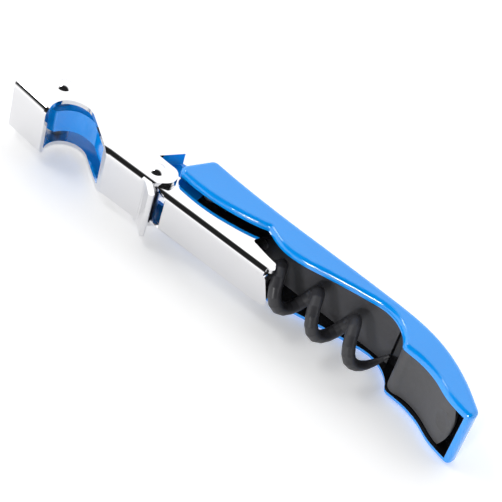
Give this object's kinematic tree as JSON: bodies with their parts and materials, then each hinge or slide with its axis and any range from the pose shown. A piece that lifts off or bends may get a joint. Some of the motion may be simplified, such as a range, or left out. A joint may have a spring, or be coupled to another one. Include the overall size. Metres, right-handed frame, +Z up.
{
  "type": "lever corkscrew",
  "caption": "Folding waiter's corkscrew with a parrot-shaped cap-opener head, stepped hinged levers, a coated worm and a fold-out foil cutter in a waved channel handle.",
  "frame": {"origin": "middle of the bounding box's bottom face, where the folded corkscrew lies on its side", "axes": "+X runs from the cap-opener head to the tail of the handle, +Y towards the handle's back, +Z up through the width, parallel to every hinge"},
  "size_m": [0.1232, 0.017, 0.0186],
  "materials": {
    "blue_plastic": "bright blue moulded plastic, high gloss",
    "liner_grey": "dark grey fine-grained liner",
    "rivet_steel": "plain drawn steel",
    "rivet_chrome": "plated domed rivet heads",
    "lever_chrome": "chrome plate on pressed and folded steel sheet",
    "worm_coating": "satin black non-stick coating on steel",
    "carrier_grey": "dark grey moulded plastic with a fine grain",
    "blade_steel": "ground stainless steel"
  },
  "bodies": {
    "handle": {"handle_shell": "blue_plastic", "handle_liner": "liner_grey", "liner_rivet_front": "rivet_steel", "liner_rivet_rear": "rivet_steel", "worm_pin": "rivet_steel", "worm_bush_near": "rivet_steel", "worm_bush_far": "rivet_steel", "knife_pin": "rivet_steel"},
    "upper_lever_body": {"upper_lever": "lever_chrome", "eye_rivet": "rivet_chrome", "eye_washer_near": "rivet_steel", "eye_washer_far": "rivet_steel", "hinge_rivet": "rivet_chrome"},
    "lower_lever_body": {"lower_lever": "lever_chrome", "hinge_sleeve": "rivet_steel"},
    "worm_body": {"worm": "worm_coating", "worm_hub": "rivet_steel"},
    "knife_body": {"knife_carrier": "carrier_grey", "knife_blade": "blade_steel", "blade_rivet_front": "blade_steel", "blade_rivet_rear": "blade_steel"}
  },
  "joints": [
    {"name": "lever_swing", "type": "hinge", "parent": "handle", "child": "upper_lever_body", "pos_m": [-0.05322, 0.00128, 0.0093], "axis": [0, 0, -1], "range_deg": [0, 170]},
    {"name": "lower_lever_fold", "type": "hinge", "parent": "upper_lever_body", "child": "lower_lever_body", "pos_m": [-0.02412, -0.00192, 0.0093], "axis": [0, 0, -1], "range_deg": [0, 20]},
    {"name": "worm_swing", "type": "hinge", "parent": "handle", "child": "worm_body", "pos_m": [-0.01242, 0.00328, 0.0093], "axis": [0, 0, -1], "range_deg": [0, 115]},
    {"name": "knife_swing", "type": "hinge", "parent": "handle", "child": "knife_body", "pos_m": [0.04258, 0.00118, 0.0093], "axis": [0, 0, -1], "range_deg": [0, 90]}
  ],
  "couplings": [
    {"joint": "worm_swing", "follows": "lever_swing", "ratio": 0.6667}
  ]
}
